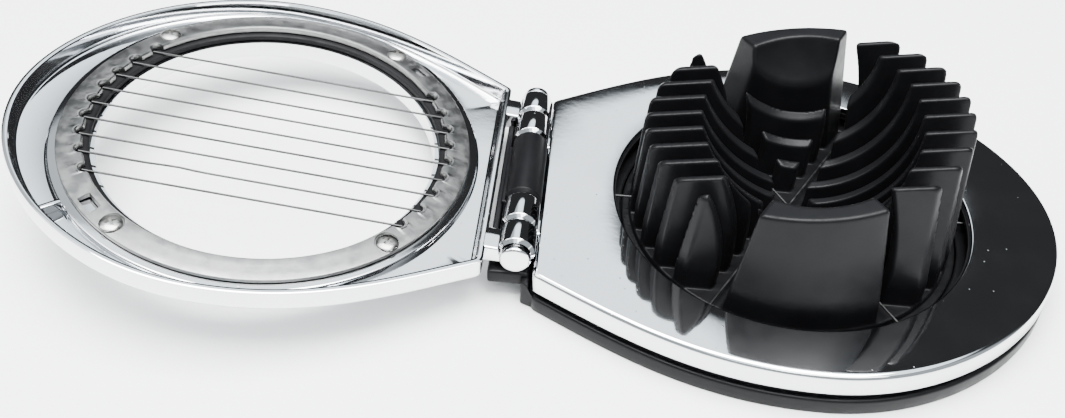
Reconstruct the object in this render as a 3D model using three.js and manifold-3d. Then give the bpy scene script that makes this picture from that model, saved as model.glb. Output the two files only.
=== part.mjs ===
// Two-in-one egg slicer: a black base with a finned cradle, and two chrome frames on one hinge pin.
// The slicer frame carries nine parallel wires; the wedger frame carries three crossing wires.
// Millimetres, +Z up. +X runs from the hinge to the free end, +Y to the back.
// The origin is on the underside of the base, below the centre of the cradle.
import * as THREE from "three";
import { mergeVertices } from "three/addons/utils/BufferGeometryUtils.js";
import Module from "manifold-3d";

const wasm = await Module();
wasm.setup();

// ---- Driving dimensions ----

// Wires and cradle pattern
const WIRE_PITCH = 5.5; // spacing of the slicer wires, and of the fins between them
const WIRE_COUNT = 9;
const WIRE_DIAMETER = 0.5;
const WEDGE_ANGLES = [0, 60, -60]; // directions of the wedger wires, degrees from +X
const WIRE_STACK_GAP = 0.08; // air between wedger wires where they cross

// Hinge
const AXIS_X = -58.7; // distance of the hinge axis from the cradle's centre
const AXIS_Z = 12.3;
const PIN_RADIUS = 1.5;
const PIN_CLEARANCE = 0.1;
const BARREL_RADIUS = 4;
const BARREL_CHAMFER = 0.75;
const KNUCKLE_STEPS = [10.5, 18.8, 26.5]; // ends of the centre, inner and outer knuckles along Y
const KNUCKLE_GAP = 0.35;
const CAP_RADIUS = BARREL_RADIUS - 0.7;
const CAP_LENGTH = 1.8;
const CAP_GRIP = 0.8; // how far the pin enters each cap
const SLICER_OPEN = 172.7; // degrees from lying level over the base to the open stop

// Frame outline (teardrop), seen from above
const FREE_END_X = 57.2;
const WIDEST_X = 3;
const HALF_WIDTH = 50.3;
const HINGE_END_HALF_WIDTH = 30;
const HINGE_END_SLOPE = 30; // degrees the sides make with +X at the hinge end
const SLICER_END_X = AXIS_X + BARREL_RADIUS + 2.4;
const WEDGER_END_X = AXIS_X + BARREL_RADIUS - 0.3; // its rounded edge reaches in under the barrels

// Frame section. Heights inside a frame are measured from the rim's edge towards the outer face.
const FRAME_HEIGHT = 5.1;
const FRAME_WALL = 1.6;
const FRAME_PLATE = 1.2;
const FRAME_EDGE_RADIUS = 1.2;
const SLICER_RIM_Z = AXIS_Z - 0.1; // when closed
const WINDOW_CHAMFER = 0.4;
const SLICER_COLLAR_HEIGHT = 3.2; // of the wall round the slicer's window, beyond the outer face
const COLLAR_WALL = 1.2;
const RIB_ANGLE = -43;
const RIB_THICKNESS = 1.2;

// Clamp ring and wire carrier
const RING_INNER_RADIUS = 39.8;
const RING_WIDTH = 5.6;
const RING_OUTER_RADIUS = RING_INNER_RADIUS + RING_WIDTH;
const RING_INNER_HEIGHT = 0.7; // the ring's face slopes from here at its inner edge
const RING_OUTER_HEIGHT = 1.5; // to here at its outer edge
const RING_BACK_HEIGHT = 2.2;
const SEAT_OUTER_RADIUS = RING_OUTER_RADIUS + 1.9;
const SEAT_INNER_RADIUS = RING_INNER_RADIUS + 1.5;
const CARRIER_INNER_RADIUS = RING_INNER_RADIUS - 1.3;
const SLICER_WINDOW_RADIUS = CARRIER_INNER_RADIUS - 0.9;
const WEDGER_WINDOW_RADIUS = CARRIER_INNER_RADIUS + 0.3;
const CARRIER_NOTCH = 1.3; // width of the notch each wire end lies in
const RING_NOTCH_RADIUS = 1.6;
const SLICER_WIRE_HEIGHT = 2.1;
const WEDGER_WIRE_HEIGHT = 1.9; // of the lowest of the three
const WIRE_END_REACH = 0.9; // how far the wire ends go under the clamp ring
const WIRE_NOTCH_GAP = 0.06; // between a wire and the bottom of its notch
const FIT_GAP = 0.3; // between pieces that touch or seat on each other

// Screws
const RING_SCREW_CIRCLE = RING_OUTER_RADIUS - 2.4;
const RING_SCREW_ANGLES = [41.5, 121.5, 221.5, 301.5];
const SCREW_HEAD_RADIUS = 2.4;
const SCREW_HEAD_HEIGHT = 0.9;
const SCREW_SHANK_RADIUS = 1;
const SCREW_LENGTH = 3.1;
const HEAD_GAP = 0.05; // between a screw's head and its seat
const SNAP_ANGLES = [132, 312];
const SNAP_LENGTH = 5;
const SNAP_WIDTH = 2.8;

// Cradle
const CRADLE_TOP_Z = 34.7; // height of the fin tops at the centre
const CRADLE_TOP_TILT = 9.2; // degrees the fin tops rise towards the free end
const CRADLE_TOP_RADIUS = 33.2; // at the height of CRADLE_TOP_Z
const CRADLE_FOOT_RADIUS = 35;
const CRADLE_STRAIGHT_Z = 12; // the outside is straight below this and drafted above
const CRADLE_FLOOR_Z = 6.3; // bottom of the slots
const CRADLE_FLANGE_RADIUS = CRADLE_FOOT_RADIUS + 1.8;
const CRADLE_FLANGE_HEIGHT = 2.2;
const BOWL_RADII = [22.9, 29.9, 28.9]; // of the egg-shaped bowl, across, along and deep
const BOWL_CENTRE = [-0.9, 0, 41.2];
const BOWL_TILT = 17; // degrees the bowl's depth leans, its bottom towards the free end
const FIN_TOP_THICKNESS = 1.3;
const FIN_FOOT_THICKNESS = 2.3;
const WEDGE_SLOT_WIDTH = 4.2;
const LUG_FREE_SIDE = [2.2, 5]; // from the wedger wire's line to the lug, at the slots' floor and at the top
const LUG_HINGE_SIDE = [1.7, 5.2];
const LUG_INNER_Y = ((WIRE_COUNT - 1) / 2) * WIRE_PITCH + 2.2;

// Base
const BASE_HEIGHT = 5.2;
const WEDGER_RIM_Z = BASE_HEIGHT + 0.5; // when closed
const BASE_STEP_Z = BASE_HEIGHT - 1.3;
const BASE_STEP_INSET = 1.4;
const BASE_WALL = 2.4;
const BASE_DECK = 1.8;
const BASE_RIB_THICKNESS = 1.6;
const BASE_RIB_COUNT = 8;
const SEAT_DISC_RADIUS = CRADLE_FLANGE_RADIUS + FIT_GAP + BASE_WALL; // the disc that the cradle stands on
const SEAT_DISC_THICKNESS = 2.4;
const POST_END_X = WEDGER_END_X - 2.4;
const POST_HALF_WIDTH = 29;
const SLAB_END_X = AXIS_X - BARREL_RADIUS - 1.9;
const SLAB_HALF_WIDTH = 27.2;
const SLAB_TOP_Z = AXIS_Z - BARREL_RADIUS - 0.7;
const SLAB_THICKNESS = 3.4;
const LIP_TOP_Z = AXIS_Z - 1.4; // raised edge of the slab between the slicer frame's arms
const LIP_THICKNESS = 1.4;
const WEB_TOP_DROP = 0.6; // of the centre knuckle's web below the hinge axis
const CRADLE_SCREW_CIRCLE = 30;
const CRADLE_SCREW_COUNT = 4;
const CRADLE_SCREW_GRIP = 2.6; // length of shank inside the cradle's floor
const CRADLE_SCREW_SEAT = 1.2; // height of the flat above each head

const ROUND = 48; // sides of a large circle
const SMALL_ROUND = 16; // sides of a small circle

// ---- Helpers ----

const radians = THREE.MathUtils.degToRad;

function solid(geometry) {
  const bare = geometry.clone();
  bare.deleteAttribute("normal");
  bare.deleteAttribute("uv");
  const merged = mergeVertices(bare, 1e-4);
  const vertProperties = new Float32Array(merged.getAttribute("position").array);
  const triVerts = new Uint32Array(merged.index.array);
  return new wasm.Manifold(new wasm.Mesh({ numProp: 3, vertProperties, triVerts }));
}

function joined(solids) {
  return solids.reduce((whole, piece) => whole.add(piece));
}

function cutBy(body, cutters) {
  return cutters.reduce((left, cutter) => left.subtract(cutter), body);
}

function meshOf(name, shape, material) {
  const { vertProperties, triVerts } = shape.getMesh();
  const geometry = new THREE.BufferGeometry();
  geometry.setAttribute("position", new THREE.BufferAttribute(vertProperties, 3));
  geometry.setIndex(new THREE.BufferAttribute(triVerts, 1));
  geometry.computeVertexNormals();
  const mesh = new THREE.Mesh(geometry, material);
  mesh.name = name;
  return mesh;
}

function boxBetween(low, high) {
  const size = high.map((value, axis) => value - low[axis]);
  const middle = high.map((value, axis) => (value + low[axis]) / 2);
  return new THREE.BoxGeometry(...size).translate(...middle);
}

// A solid of revolution about Z from [radius, height] pairs.
function turned(profile, sides = ROUND) {
  const points = profile.map(([radius, height]) => new THREE.Vector2(radius, height));
  return new THREE.LatheGeometry(points, sides).rotateX(Math.PI / 2);
}

function ringProfile(inner, outer, low, high) {
  return [
    [inner, low],
    [outer, low],
    [outer, high],
    [inner, high],
    [inner, low],
  ];
}

function disc(radius, low, high, sides = ROUND) {
  return new THREE.CylinderGeometry(radius, radius, high - low, sides)
    .rotateX(Math.PI / 2)
    .translate(0, 0, (low + high) / 2);
}

function rodAlongY(radius, from, to, sides = SMALL_ROUND) {
  return new THREE.CylinderGeometry(radius, radius, to - from, sides).translate(0, (from + to) / 2, 0);
}

function atPolar(geometry, radius, degrees) {
  return geometry.translate(radius, 0, 0).rotateZ(radians(degrees));
}

// ---- Teardrop outline ----

// Right-hand half of the outline, from the free end round to the hinge end.
function sideCurves(endX) {
  const widest = new THREE.Vector2(WIDEST_X, HALF_WIDTH);
  const end = new THREE.Vector2(endX, HINGE_END_HALF_WIDTH);
  const tip = new THREE.Vector2(FREE_END_X, 0);
  const slope = new THREE.Vector2(Math.cos(radians(HINGE_END_SLOPE)), Math.sin(radians(HINGE_END_SLOPE)));
  const tipHandle = new THREE.Vector2(FREE_END_X, HALF_WIDTH * 0.51);
  const widestHandle = new THREE.Vector2(WIDEST_X + (FREE_END_X - WIDEST_X) * 0.53, HALF_WIDTH);
  const backHandle = new THREE.Vector2(WIDEST_X + (endX - WIDEST_X) * 0.42, HALF_WIDTH);
  const endHandle = end.clone().addScaledVector(slope, (WIDEST_X - endX) * 0.36);
  return [
    new THREE.CubicBezierCurve(tip, tipHandle, widestHandle, widest),
    new THREE.CubicBezierCurve(widest, backHandle, endHandle, end),
  ];
}

function outlinePoints(endX) {
  const half = sideCurves(endX).flatMap((curve, index) => curve.getPoints(10).slice(index));
  const mirrored = half.slice(1).map((point) => new THREE.Vector2(point.x, -point.y));
  return [...half, ...mirrored.reverse()];
}

// The outline moved inwards by the given distance.
function insetPoints(points, distance) {
  const count = points.length;
  const edgeNormal = (from, to) => new THREE.Vector2(from.y - to.y, to.x - from.x).normalize();
  return points.map((point, index) => {
    const before = edgeNormal(points[(index + count - 1) % count], point);
    const after = edgeNormal(point, points[(index + 1) % count]);
    const bisector = before.clone().add(after).normalize();
    return point.clone().addScaledVector(bisector, distance / bisector.dot(after));
  });
}

function teardrop(endX, inset, low, high, edgeRadius = 0) {
  const shape = new THREE.Shape(insetPoints(outlinePoints(endX), inset));
  const bevel = {
    bevelEnabled: edgeRadius > 0,
    bevelThickness: edgeRadius,
    bevelSize: edgeRadius,
    bevelOffset: -edgeRadius,
    bevelSegments: 2,
  };
  const depth = high - low - 2 * edgeRadius;
  return new THREE.ExtrudeGeometry(shape, { depth, ...bevel }).translate(0, 0, low + edgeRadius);
}

// ---- Hinge ----

function knuckle(from, to, axisZ) {
  const length = to - from;
  const profile = [
    [0, 0],
    [BARREL_RADIUS - BARREL_CHAMFER, 0],
    [BARREL_RADIUS, BARREL_CHAMFER],
    [BARREL_RADIUS, length - BARREL_CHAMFER],
    [BARREL_RADIUS - BARREL_CHAMFER, length],
    [0, length],
  ];
  const points = profile.map(([radius, height]) => new THREE.Vector2(radius, height));
  return new THREE.LatheGeometry(points, 24).translate(AXIS_X, from, axisZ);
}

function pinBore(axisZ) {
  const reach = KNUCKLE_STEPS[2] + 1;
  return solid(rodAlongY(PIN_RADIUS + PIN_CLEARANCE, -reach, reach).translate(AXIS_X, 0, axisZ));
}

// The pair of knuckles between two steps, mirrored about Y = 0, each with an arm to the frame.
function knucklePair([innerStep, outerStep], axisZ, armReach, [armLow, armHigh]) {
  const from = innerStep + KNUCKLE_GAP / 2;
  const to = outerStep - KNUCKLE_GAP / 2;
  const spans = [
    [from, to],
    [-to, -from],
  ];
  return spans.flatMap(([low, high]) => [
    solid(knuckle(low, high, axisZ)),
    solid(boxBetween([AXIS_X, low + BARREL_CHAMFER, armLow], [armReach, high - BARREL_CHAMFER, armHigh])),
  ]);
}

const CAP_START = KNUCKLE_STEPS[2] + KNUCKLE_GAP;

function hingePin() {
  const end = CAP_START + CAP_GRIP;
  return solid(rodAlongY(PIN_RADIUS, -end, end).translate(AXIS_X, 0, AXIS_Z));
}

// Domed cap pressed on an end of the pin; side is 1 at the back and -1 at the front.
function pinCap(side) {
  const shoulder = 1.2;
  const dome = Array.from({ length: 5 }, (_, step) => {
    const turn = (step / 4) * (Math.PI / 2);
    return [CAP_RADIUS * Math.cos(turn), shoulder + (CAP_LENGTH - shoulder) * Math.sin(turn)];
  });
  dome[dome.length - 1][0] = 0;
  const points = [[0, 0], [CAP_RADIUS, 0], ...dome].map(([radius, height]) => new THREE.Vector2(radius, height));
  const cap = new THREE.LatheGeometry(points, SMALL_ROUND);
  const bore = rodAlongY(PIN_RADIUS + PIN_CLEARANCE, -1, CAP_GRIP + 0.15);
  const turnedRound = side > 0 ? 0 : Math.PI;
  const place = (geometry) => geometry.rotateX(turnedRound).translate(AXIS_X, side * CAP_START, AXIS_Z);
  return solid(place(cap)).subtract(solid(place(bore)));
}

// ---- Frames ----

const PLATE_INSIDE = FRAME_HEIGHT - FRAME_PLATE;
const SPOT_FACE = (RING_INNER_HEIGHT + RING_OUTER_HEIGHT) / 2 + 0.15; // flat under each ring screw's head

// Each wire has a direction in degrees, an offset from the middle and a height inside its frame.
function slicerWires() {
  const middle = (WIRE_COUNT - 1) / 2;
  return Array.from({ length: WIRE_COUNT }, (_, index) => ({
    degrees: 0,
    offset: (middle - index) * WIRE_PITCH,
    height: SLICER_WIRE_HEIGHT,
  }));
}

// Each wedger wire lies a wire's thickness above the one before, so that they cross without touching.
function wedgerWires() {
  return WEDGE_ANGLES.map((degrees, index) => ({
    degrees,
    offset: 0,
    height: WEDGER_WIRE_HEIGHT + index * (WIRE_DIAMETER + WIRE_STACK_GAP),
  }));
}

// The two points where a wire crosses a circle about the frame's middle.
function wireCrossings({ degrees, offset, height }, radius) {
  const half = Math.sqrt(radius * radius - offset * offset);
  return [half, -half].map((along) =>
    new THREE.Vector3(along, offset, height).applyAxisAngle(new THREE.Vector3(0, 0, 1), radians(degrees)),
  );
}

// Chrome shell with its rim's edge at height 0, before its hinge knuckles are joined on. A collar of the
// given height stands round its window on the outer face.
function frameShell(endX, windowRadius, collarHeight) {
  const outside = solid(teardrop(endX, 0, -FRAME_HEIGHT, FRAME_HEIGHT, FRAME_EDGE_RADIUS));
  const belowRim = solid(boxBetween([-200, -200, -2 * FRAME_HEIGHT], [200, 200, 0]));
  const inside = solid(teardrop(endX, FRAME_WALL, -1, PLATE_INSIDE));
  const seat = solid(
    turned(ringProfile(SEAT_INNER_RADIUS, SEAT_OUTER_RADIUS, RING_BACK_HEIGHT + FIT_GAP, FRAME_HEIGHT - 0.5)),
  );
  const ribLow = RING_OUTER_HEIGHT;
  const rib = solid(
    boxBetween(
      [SEAT_OUTER_RADIUS - 1, -RIB_THICKNESS / 2, ribLow],
      [SEAT_OUTER_RADIUS + 6, RIB_THICKNESS / 2, FRAME_HEIGHT - 0.5],
    ).rotateZ(radians(RIB_ANGLE)),
  );
  const windowEnd = FRAME_HEIGHT + collarHeight;
  const collarLow = FRAME_HEIGHT - FRAME_PLATE / 2;
  const collar = solid(turned(ringProfile(windowRadius - 1, windowRadius + COLLAR_WALL, collarLow, windowEnd)));
  const window = turned([
    [0, -1],
    [windowRadius, -1],
    [windowRadius, windowEnd - WINDOW_CHAMFER],
    [windowRadius + WINDOW_CHAMFER + 1, windowEnd + 1],
    [0, windowEnd + 1],
  ]);
  const screwHoles = RING_SCREW_ANGLES.map((degrees) =>
    solid(atPolar(disc(SCREW_SHANK_RADIUS + 0.1, -1, FRAME_HEIGHT - 0.6, 12), RING_SCREW_CIRCLE, degrees)),
  );
  const tabs = SNAP_ANGLES.map((degrees) => {
    const tabTop = (RING_INNER_HEIGHT + RING_BACK_HEIGHT) / 2;
    const half = [SNAP_WIDTH / 2 - 2 * FIT_GAP, SNAP_LENGTH / 2 - 1];
    const tab = boxBetween([-half[0], -half[1], tabTop], [half[0], half[1], FRAME_HEIGHT - 0.5]);
    return solid(atPolar(tab, RING_SCREW_CIRCLE, degrees));
  });
  const shell = outside.subtract(belowRim).subtract(inside);
  const kept = outside.intersect(joined([seat, rib, ...tabs]));
  return cutBy(joined([shell, kept, collar]), [solid(window), ...screwHoles]);
}

function slicerFrame() {
  const axisZ = AXIS_Z - SLICER_RIM_Z;
  const shell = frameShell(SLICER_END_X, SLICER_WINDOW_RADIUS, SLICER_COLLAR_HEIGHT);
  const armHeights = [0, axisZ + BARREL_RADIUS];
  const arms = knucklePair(KNUCKLE_STEPS.slice(1), axisZ, SLICER_END_X + FRAME_WALL / 2, armHeights);
  return joined([shell, ...arms]).subtract(pinBore(axisZ));
}

function wedgerFrame() {
  const axisZ = AXIS_Z - WEDGER_RIM_Z;
  const shell = frameShell(WEDGER_END_X, WEDGER_WINDOW_RADIUS, 0);
  const armHeights = [axisZ - BARREL_RADIUS, FRAME_HEIGHT];
  const arms = knucklePair(KNUCKLE_STEPS, axisZ, WEDGER_END_X + FRAME_WALL / 2, armHeights);
  return joined([shell, ...arms]).subtract(pinBore(axisZ));
}

// Black ring with a notch for each wire end, between the clamp ring and the frame's plate.
function wireCarrier(wires) {
  const low = RING_BACK_HEIGHT + FIT_GAP / 2;
  const high = PLATE_INSIDE - FIT_GAP / 2;
  const outer = SEAT_INNER_RADIUS - FIT_GAP;
  const ring = solid(turned(ringProfile(CARRIER_INNER_RADIUS, outer, low, high)));
  const notches = wires.flatMap((wire) => {
    const bottom = wire.height + WIRE_DIAMETER / 2 + WIRE_NOTCH_GAP;
    return wireCrossings(wire, (CARRIER_INNER_RADIUS + outer) / 2).map(({ x, y }) => {
      const notch = boxBetween([-3, -CARRIER_NOTCH / 2, 0], [3, CARRIER_NOTCH / 2, bottom]);
      return solid(notch.rotateZ(radians(wire.degrees)).translate(x, y, 0));
    });
  });
  return cutBy(ring, notches);
}

// Grey cast ring that clamps the wire ends, with screw holes, snap windows and a scallop at each wire.
function clampRing(wires) {
  const face = turned([
    [RING_INNER_RADIUS, RING_INNER_HEIGHT],
    [RING_OUTER_RADIUS, RING_OUTER_HEIGHT],
    [RING_OUTER_RADIUS, RING_BACK_HEIGHT],
    [RING_INNER_RADIUS, RING_BACK_HEIGHT],
    [RING_INNER_RADIUS, RING_INNER_HEIGHT],
  ]);
  const scallops = wires
    .flatMap((wire) => wireCrossings(wire, RING_INNER_RADIUS))
    .map(({ x, y }) => solid(disc(RING_NOTCH_RADIUS, 0, RING_BACK_HEIGHT + 1, 8).translate(x, y, 0)));
  const screwHoles = RING_SCREW_ANGLES.flatMap((degrees) => [
    solid(atPolar(disc(SCREW_SHANK_RADIUS + 0.2, 0, RING_BACK_HEIGHT + 1, 12), RING_SCREW_CIRCLE, degrees)),
    solid(atPolar(disc(SCREW_HEAD_RADIUS + 0.2, 0, SPOT_FACE, SMALL_ROUND), RING_SCREW_CIRCLE, degrees)),
  ]);
  const snaps = SNAP_ANGLES.map((degrees) => {
    const half = [SNAP_WIDTH / 2, SNAP_LENGTH / 2];
    return solid(atPolar(boxBetween([-half[0], -half[1], 0], [half[0], half[1], 4]), RING_SCREW_CIRCLE, degrees));
  });
  return cutBy(solid(face), [...scallops, ...screwHoles, ...snaps]);
}

// Pan head screw with a cross recess. The head's underside is at height 0 and the shank points up.
function crossScrew(length) {
  const profile = [
    [0, -SCREW_HEAD_HEIGHT],
    [SCREW_HEAD_RADIUS * 0.75, -SCREW_HEAD_HEIGHT],
    [SCREW_HEAD_RADIUS, 0],
    [SCREW_SHANK_RADIUS, 0],
    [SCREW_SHANK_RADIUS, length],
    [0, length],
  ];
  const recessDepth = 0.55;
  const arm = [SCREW_HEAD_RADIUS * 0.5, 0.28];
  const recess = [arm, [arm[1], arm[0]]].map(([halfX, halfY]) =>
    solid(boxBetween([-halfX, -halfY, -2], [halfX, halfY, recessDepth - SCREW_HEAD_HEIGHT])),
  );
  return cutBy(solid(turned(profile, 12)), recess);
}

// A screw's mesh on a circle about the Z axis, with its head's seat at the given height.
function placedScrew(name, length, radius, degrees, seatZ) {
  const mesh = meshOf(name, crossScrew(length), steel());
  mesh.position.set(radius * Math.cos(radians(degrees)), radius * Math.sin(radians(degrees)), seatZ - HEAD_GAP);
  return mesh;
}

// ---- Wires ----

function tautWire(wire) {
  const [to, from] = wireCrossings(wire, RING_INNER_RADIUS + WIRE_END_REACH);
  const section = new THREE.Shape();
  section.absarc(0, 0, WIRE_DIAMETER / 2, 0, 2 * Math.PI);
  const path = new THREE.LineCurve3(from, to);
  return solid(new THREE.ExtrudeGeometry(section, { extrudePath: path, steps: 1, curveSegments: 5 }));
}

// ---- Cradle ----

const FLANGE_LOW = SEAT_DISC_THICKNESS + FIT_GAP;

function aboveFinTops() {
  const block = boxBetween([-100, -100, 0], [100, 100, 60]);
  return solid(block.rotateY(-radians(CRADLE_TOP_TILT)).translate(0, 0, CRADLE_TOP_Z));
}

function cradleEnvelope() {
  const draft = (CRADLE_FOOT_RADIUS - CRADLE_TOP_RADIUS) / (CRADLE_TOP_Z - CRADLE_STRAIGHT_Z);
  const peak = CRADLE_TOP_Z + 12;
  const profile = [
    [0, FLANGE_LOW],
    [CRADLE_FLANGE_RADIUS, FLANGE_LOW],
    [CRADLE_FLANGE_RADIUS, FLANGE_LOW + CRADLE_FLANGE_HEIGHT],
    [CRADLE_FOOT_RADIUS, FLANGE_LOW + CRADLE_FLANGE_HEIGHT],
    [CRADLE_FOOT_RADIUS, CRADLE_STRAIGHT_Z],
    [CRADLE_FOOT_RADIUS - draft * (peak - CRADLE_STRAIGHT_Z), peak],
    [0, peak],
  ];
  return solid(turned(profile)).subtract(aboveFinTops());
}

// Egg-shaped bowl, carried straight on above its widest level.
function bowl() {
  const lower = new THREE.SphereGeometry(1, 36, 24).scale(...BOWL_RADII);
  const upper = disc(1, 0, 20, 36).scale(BOWL_RADII[0], BOWL_RADII[1], 1);
  const place = (geometry) => solid(geometry.rotateY(-radians(BOWL_TILT)).translate(...BOWL_CENTRE));
  return place(lower).add(place(upper));
}

// Slot between two fins: wide at the fin tops, narrower at the foot, right through along X. Reach
// widens it beyond its low and high sides along Y.
function finSlot(y, reach = [0, 0]) {
  const topZ = CRADLE_TOP_Z + 12;
  const halfTop = (WIRE_PITCH - FIN_TOP_THICKNESS) / 2;
  const halfFoot = (WIRE_PITCH - FIN_FOOT_THICKNESS) / 2;
  const spread = (halfTop - halfFoot) / (CRADLE_TOP_Z - CRADLE_FLOOR_Z);
  const halfPeak = halfFoot + spread * (topZ - CRADLE_FLOOR_Z);
  const section = new THREE.Shape();
  section.moveTo(y - halfFoot - reach[0], CRADLE_FLOOR_Z);
  section.lineTo(y + halfFoot + reach[1], CRADLE_FLOOR_Z);
  section.lineTo(y + halfPeak + reach[1], topZ);
  section.lineTo(y - halfPeak - reach[0], topZ);
  const length = 100;
  const slot = new THREE.ExtrudeGeometry(section, { depth: length, bevelEnabled: false });
  return solid(slot.rotateX(Math.PI / 2).rotateZ(Math.PI / 2).translate(-length / 2, 0, 0));
}

// How far out along Y a fin can stand: to where the slanting slots' outer sides meet the top's rim.
function finReach() {
  const lean = 1 / Math.tan(radians(WEDGE_ANGLES[1]));
  const halfWidth = WEDGE_SLOT_WIDTH / 2 / Math.sin(radians(WEDGE_ANGLES[1]));
  const square = 1 + lean * lean;
  const cross = lean * halfWidth;
  return (Math.sqrt(cross * cross + square * (CRADLE_TOP_RADIUS ** 2 - halfWidth ** 2)) - cross) / square;
}

// A slot for each slicer wire, and the clear space outside the first and last fins.
function finSlots() {
  const beyond = ((WIRE_COUNT + 1) / 2) * WIRE_PITCH;
  const between = slicerWires().map((wire) => finSlot(wire.offset));
  const outside = boxBetween([-60, finReach(), CRADLE_FLOOR_Z], [60, 60, 60]);
  const mirrored = outside.clone().rotateZ(Math.PI);
  return [...between, finSlot(beyond, [0, 20]), finSlot(-beyond, [20, 0]), solid(outside), solid(mirrored)];
}

// The space above the cradle's floor that an area swings through about the hinge. The area lies level
// with the hinge axis and is given by its corners as [x, y] pairs, anticlockwise.
function swingSpace(corners) {
  const points = [...corners, corners[0]].map(([x, y]) => new THREE.Vector2(x - AXIS_X, y));
  const swept = solid(new THREE.LatheGeometry(points, 80).translate(AXIS_X, 0, AXIS_Z));
  return swept.intersect(solid(boxBetween([-45, -60, CRADLE_FLOOR_Z], [60, 60, 100])));
}

// Slot for one slanting wedger wire, which swings with its frame.
function wedgeSlot(degrees) {
  const reach = 50;
  const lean = 1 / Math.tan(radians(degrees));
  const halfWidth = WEDGE_SLOT_WIDTH / 2 / Math.abs(Math.sin(radians(degrees)));
  return swingSpace([
    [-reach * lean - halfWidth, -reach],
    [-reach * lean + halfWidth, -reach],
    [reach * lean + halfWidth, reach],
    [reach * lean - halfWidth, reach],
  ]);
}

// What is cut off a lug along one wedger wire's line: everything nearer the line than the lug's side,
// which leans away from the line towards the top. The lug is to the left of the line when hand is 1.
function besideLug(degrees, hand, [atFoot, atTop]) {
  const lean = Math.atan((atTop - atFoot) / (CRADLE_TOP_Z - CRADLE_FLOOR_Z));
  const across = hand > 0 ? [-100, 0] : [0, 100];
  const block = boxBetween([-100, across[0], -60], [100, across[1], 60]);
  return solid(block.rotateX(-hand * lean).translate(0, hand * atFoot, CRADLE_FLOOR_Z).rotateZ(radians(degrees)));
}

// Thumb lug between the two slanting slots; side is 1 at the back and -1 at the front.
function lug(side, envelope) {
  const span = [LUG_INNER_Y * side, 60 * side].sort((a, b) => a - b);
  const blank = solid(boxBetween([-40, span[0], CRADLE_FLOOR_Z - 1], [40, span[1], 60]));
  const slant = side * WEDGE_ANGLES[1];
  const beside = [besideLug(slant, side, LUG_FREE_SIDE), besideLug(side * 180 - slant, -side, LUG_HINGE_SIDE)];
  return cutBy(envelope.intersect(blank), [...beside, bowl()]);
}

// No fins stand between the slanting slots beyond the outermost wires, where the lugs are.
function lugSpace(side) {
  const inner = ((WIRE_COUNT - 1) / 2) * WIRE_PITCH;
  const outer = CRADLE_FLANGE_RADIUS + 5;
  const lean = 1 / Math.tan(radians(WEDGE_ANGLES[1]));
  const corners = [
    [-inner * lean, side * inner],
    [inner * lean, side * inner],
    [outer * lean, side * outer],
    [-outer * lean, side * outer],
  ];
  return swingSpace(side > 0 ? corners : corners.reverse());
}

function cradleScrewAngles() {
  return Array.from({ length: CRADLE_SCREW_COUNT }, (_, index) => 45 + (index * 360) / CRADLE_SCREW_COUNT);
}

function cradle() {
  const envelope = cradleEnvelope();
  const slanting = WEDGE_ANGLES.filter((degrees) => degrees !== 0).map(wedgeSlot);
  const fins = cutBy(envelope, [bowl(), ...finSlots(), ...slanting, lugSpace(1), lugSpace(-1)]);
  const lugs = [1, -1].map((side) => lug(side, envelope));
  const pilotTop = FLANGE_LOW + CRADLE_SCREW_GRIP + 0.4;
  const pilots = cradleScrewAngles().map((degrees) =>
    solid(atPolar(disc(SCREW_SHANK_RADIUS + 0.1, 0, pilotTop, 12), CRADLE_SCREW_CIRCLE, degrees)),
  );
  return cutBy(joined([fins, ...lugs]), pilots);
}

// ---- Base ----

function baseBody() {
  const plinth = solid(teardrop(WEDGER_END_X, 0, 0, BASE_STEP_Z));
  const step = solid(teardrop(WEDGER_END_X, BASE_STEP_INSET, BASE_STEP_Z - 1, BASE_HEIGHT));
  const hollow = solid(teardrop(WEDGER_END_X, BASE_WALL, -1, BASE_HEIGHT - BASE_DECK));
  const wallRing = solid(turned(ringProfile(SEAT_DISC_RADIUS - BASE_WALL, SEAT_DISC_RADIUS, 0, BASE_HEIGHT)));
  const seatDisc = solid(disc(SEAT_DISC_RADIUS - 1, 0, SEAT_DISC_THICKNESS));
  const ribs = Array.from({ length: BASE_RIB_COUNT }, (_, index) => {
    const degrees = ((index + 0.5) * 360) / BASE_RIB_COUNT;
    const half = BASE_RIB_THICKNESS / 2;
    const rib = boxBetween([SEAT_DISC_RADIUS - 1, -half, 1], [SEAT_DISC_RADIUS + 30, half, BASE_HEIGHT - 1]);
    return solid(rib.rotateZ(radians(degrees)));
  });
  const inside = plinth.intersect(joined(ribs));
  const pocket = solid(disc(SEAT_DISC_RADIUS - BASE_WALL, SEAT_DISC_THICKNESS, BASE_HEIGHT + 1));
  const shell = plinth.add(step).subtract(hollow);
  const screwHoles = cradleScrewAngles().flatMap((degrees) => [
    solid(atPolar(disc(SCREW_SHANK_RADIUS + 0.2, -1, 4, 12), CRADLE_SCREW_CIRCLE, degrees)),
    solid(atPolar(disc(SCREW_HEAD_RADIUS + 0.3, -1, CRADLE_SCREW_SEAT, SMALL_ROUND), CRADLE_SCREW_CIRCLE, degrees)),
  ]);
  const whole = joined([shell, inside, wallRing]).subtract(pocket).add(seatDisc);
  return joined([cutBy(whole, screwHoles), ...hingeBlock()]).subtract(pinBore(AXIS_Z));
}

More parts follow.
